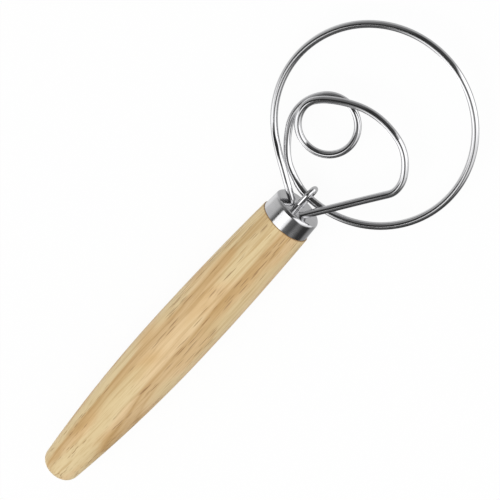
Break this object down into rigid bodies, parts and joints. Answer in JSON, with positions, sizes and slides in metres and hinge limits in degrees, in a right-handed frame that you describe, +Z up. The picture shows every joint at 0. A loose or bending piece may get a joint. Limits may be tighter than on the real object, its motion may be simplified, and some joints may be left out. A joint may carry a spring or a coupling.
{
  "type": "dough whisk",
  "caption": "Long barrel-shaped wooden handle with a polished metal ferrule and a flat head of one bent wire: a big ring, an inner loop and a small eye, held down by a wire staple.",
  "frame": {"origin": "middle of the whole whisk's length and width, on the surface that its handle lies on", "axes": "+X along the handle from the butt to the ring, +Y to the side of the small eye, +Z up, square to the plane of the ring"},
  "size_m": [0.289, 0.0958, 0.0293],
  "materials": {
    "wood": "sanded and lightly oiled, satin",
    "ferrule_steel": "polished stainless steel",
    "wire_steel": "polished stainless steel wire",
    "staple_steel": "polished stainless steel wire",
    "resin": "cast, clear amber"
  },
  "bodies": {
    "root": {"handle": "wood", "ferrule": "ferrule_steel", "whisk_wire": "wire_steel", "staple": "staple_steel", "resin_plug": "resin"}
  },
  "joints": []
}
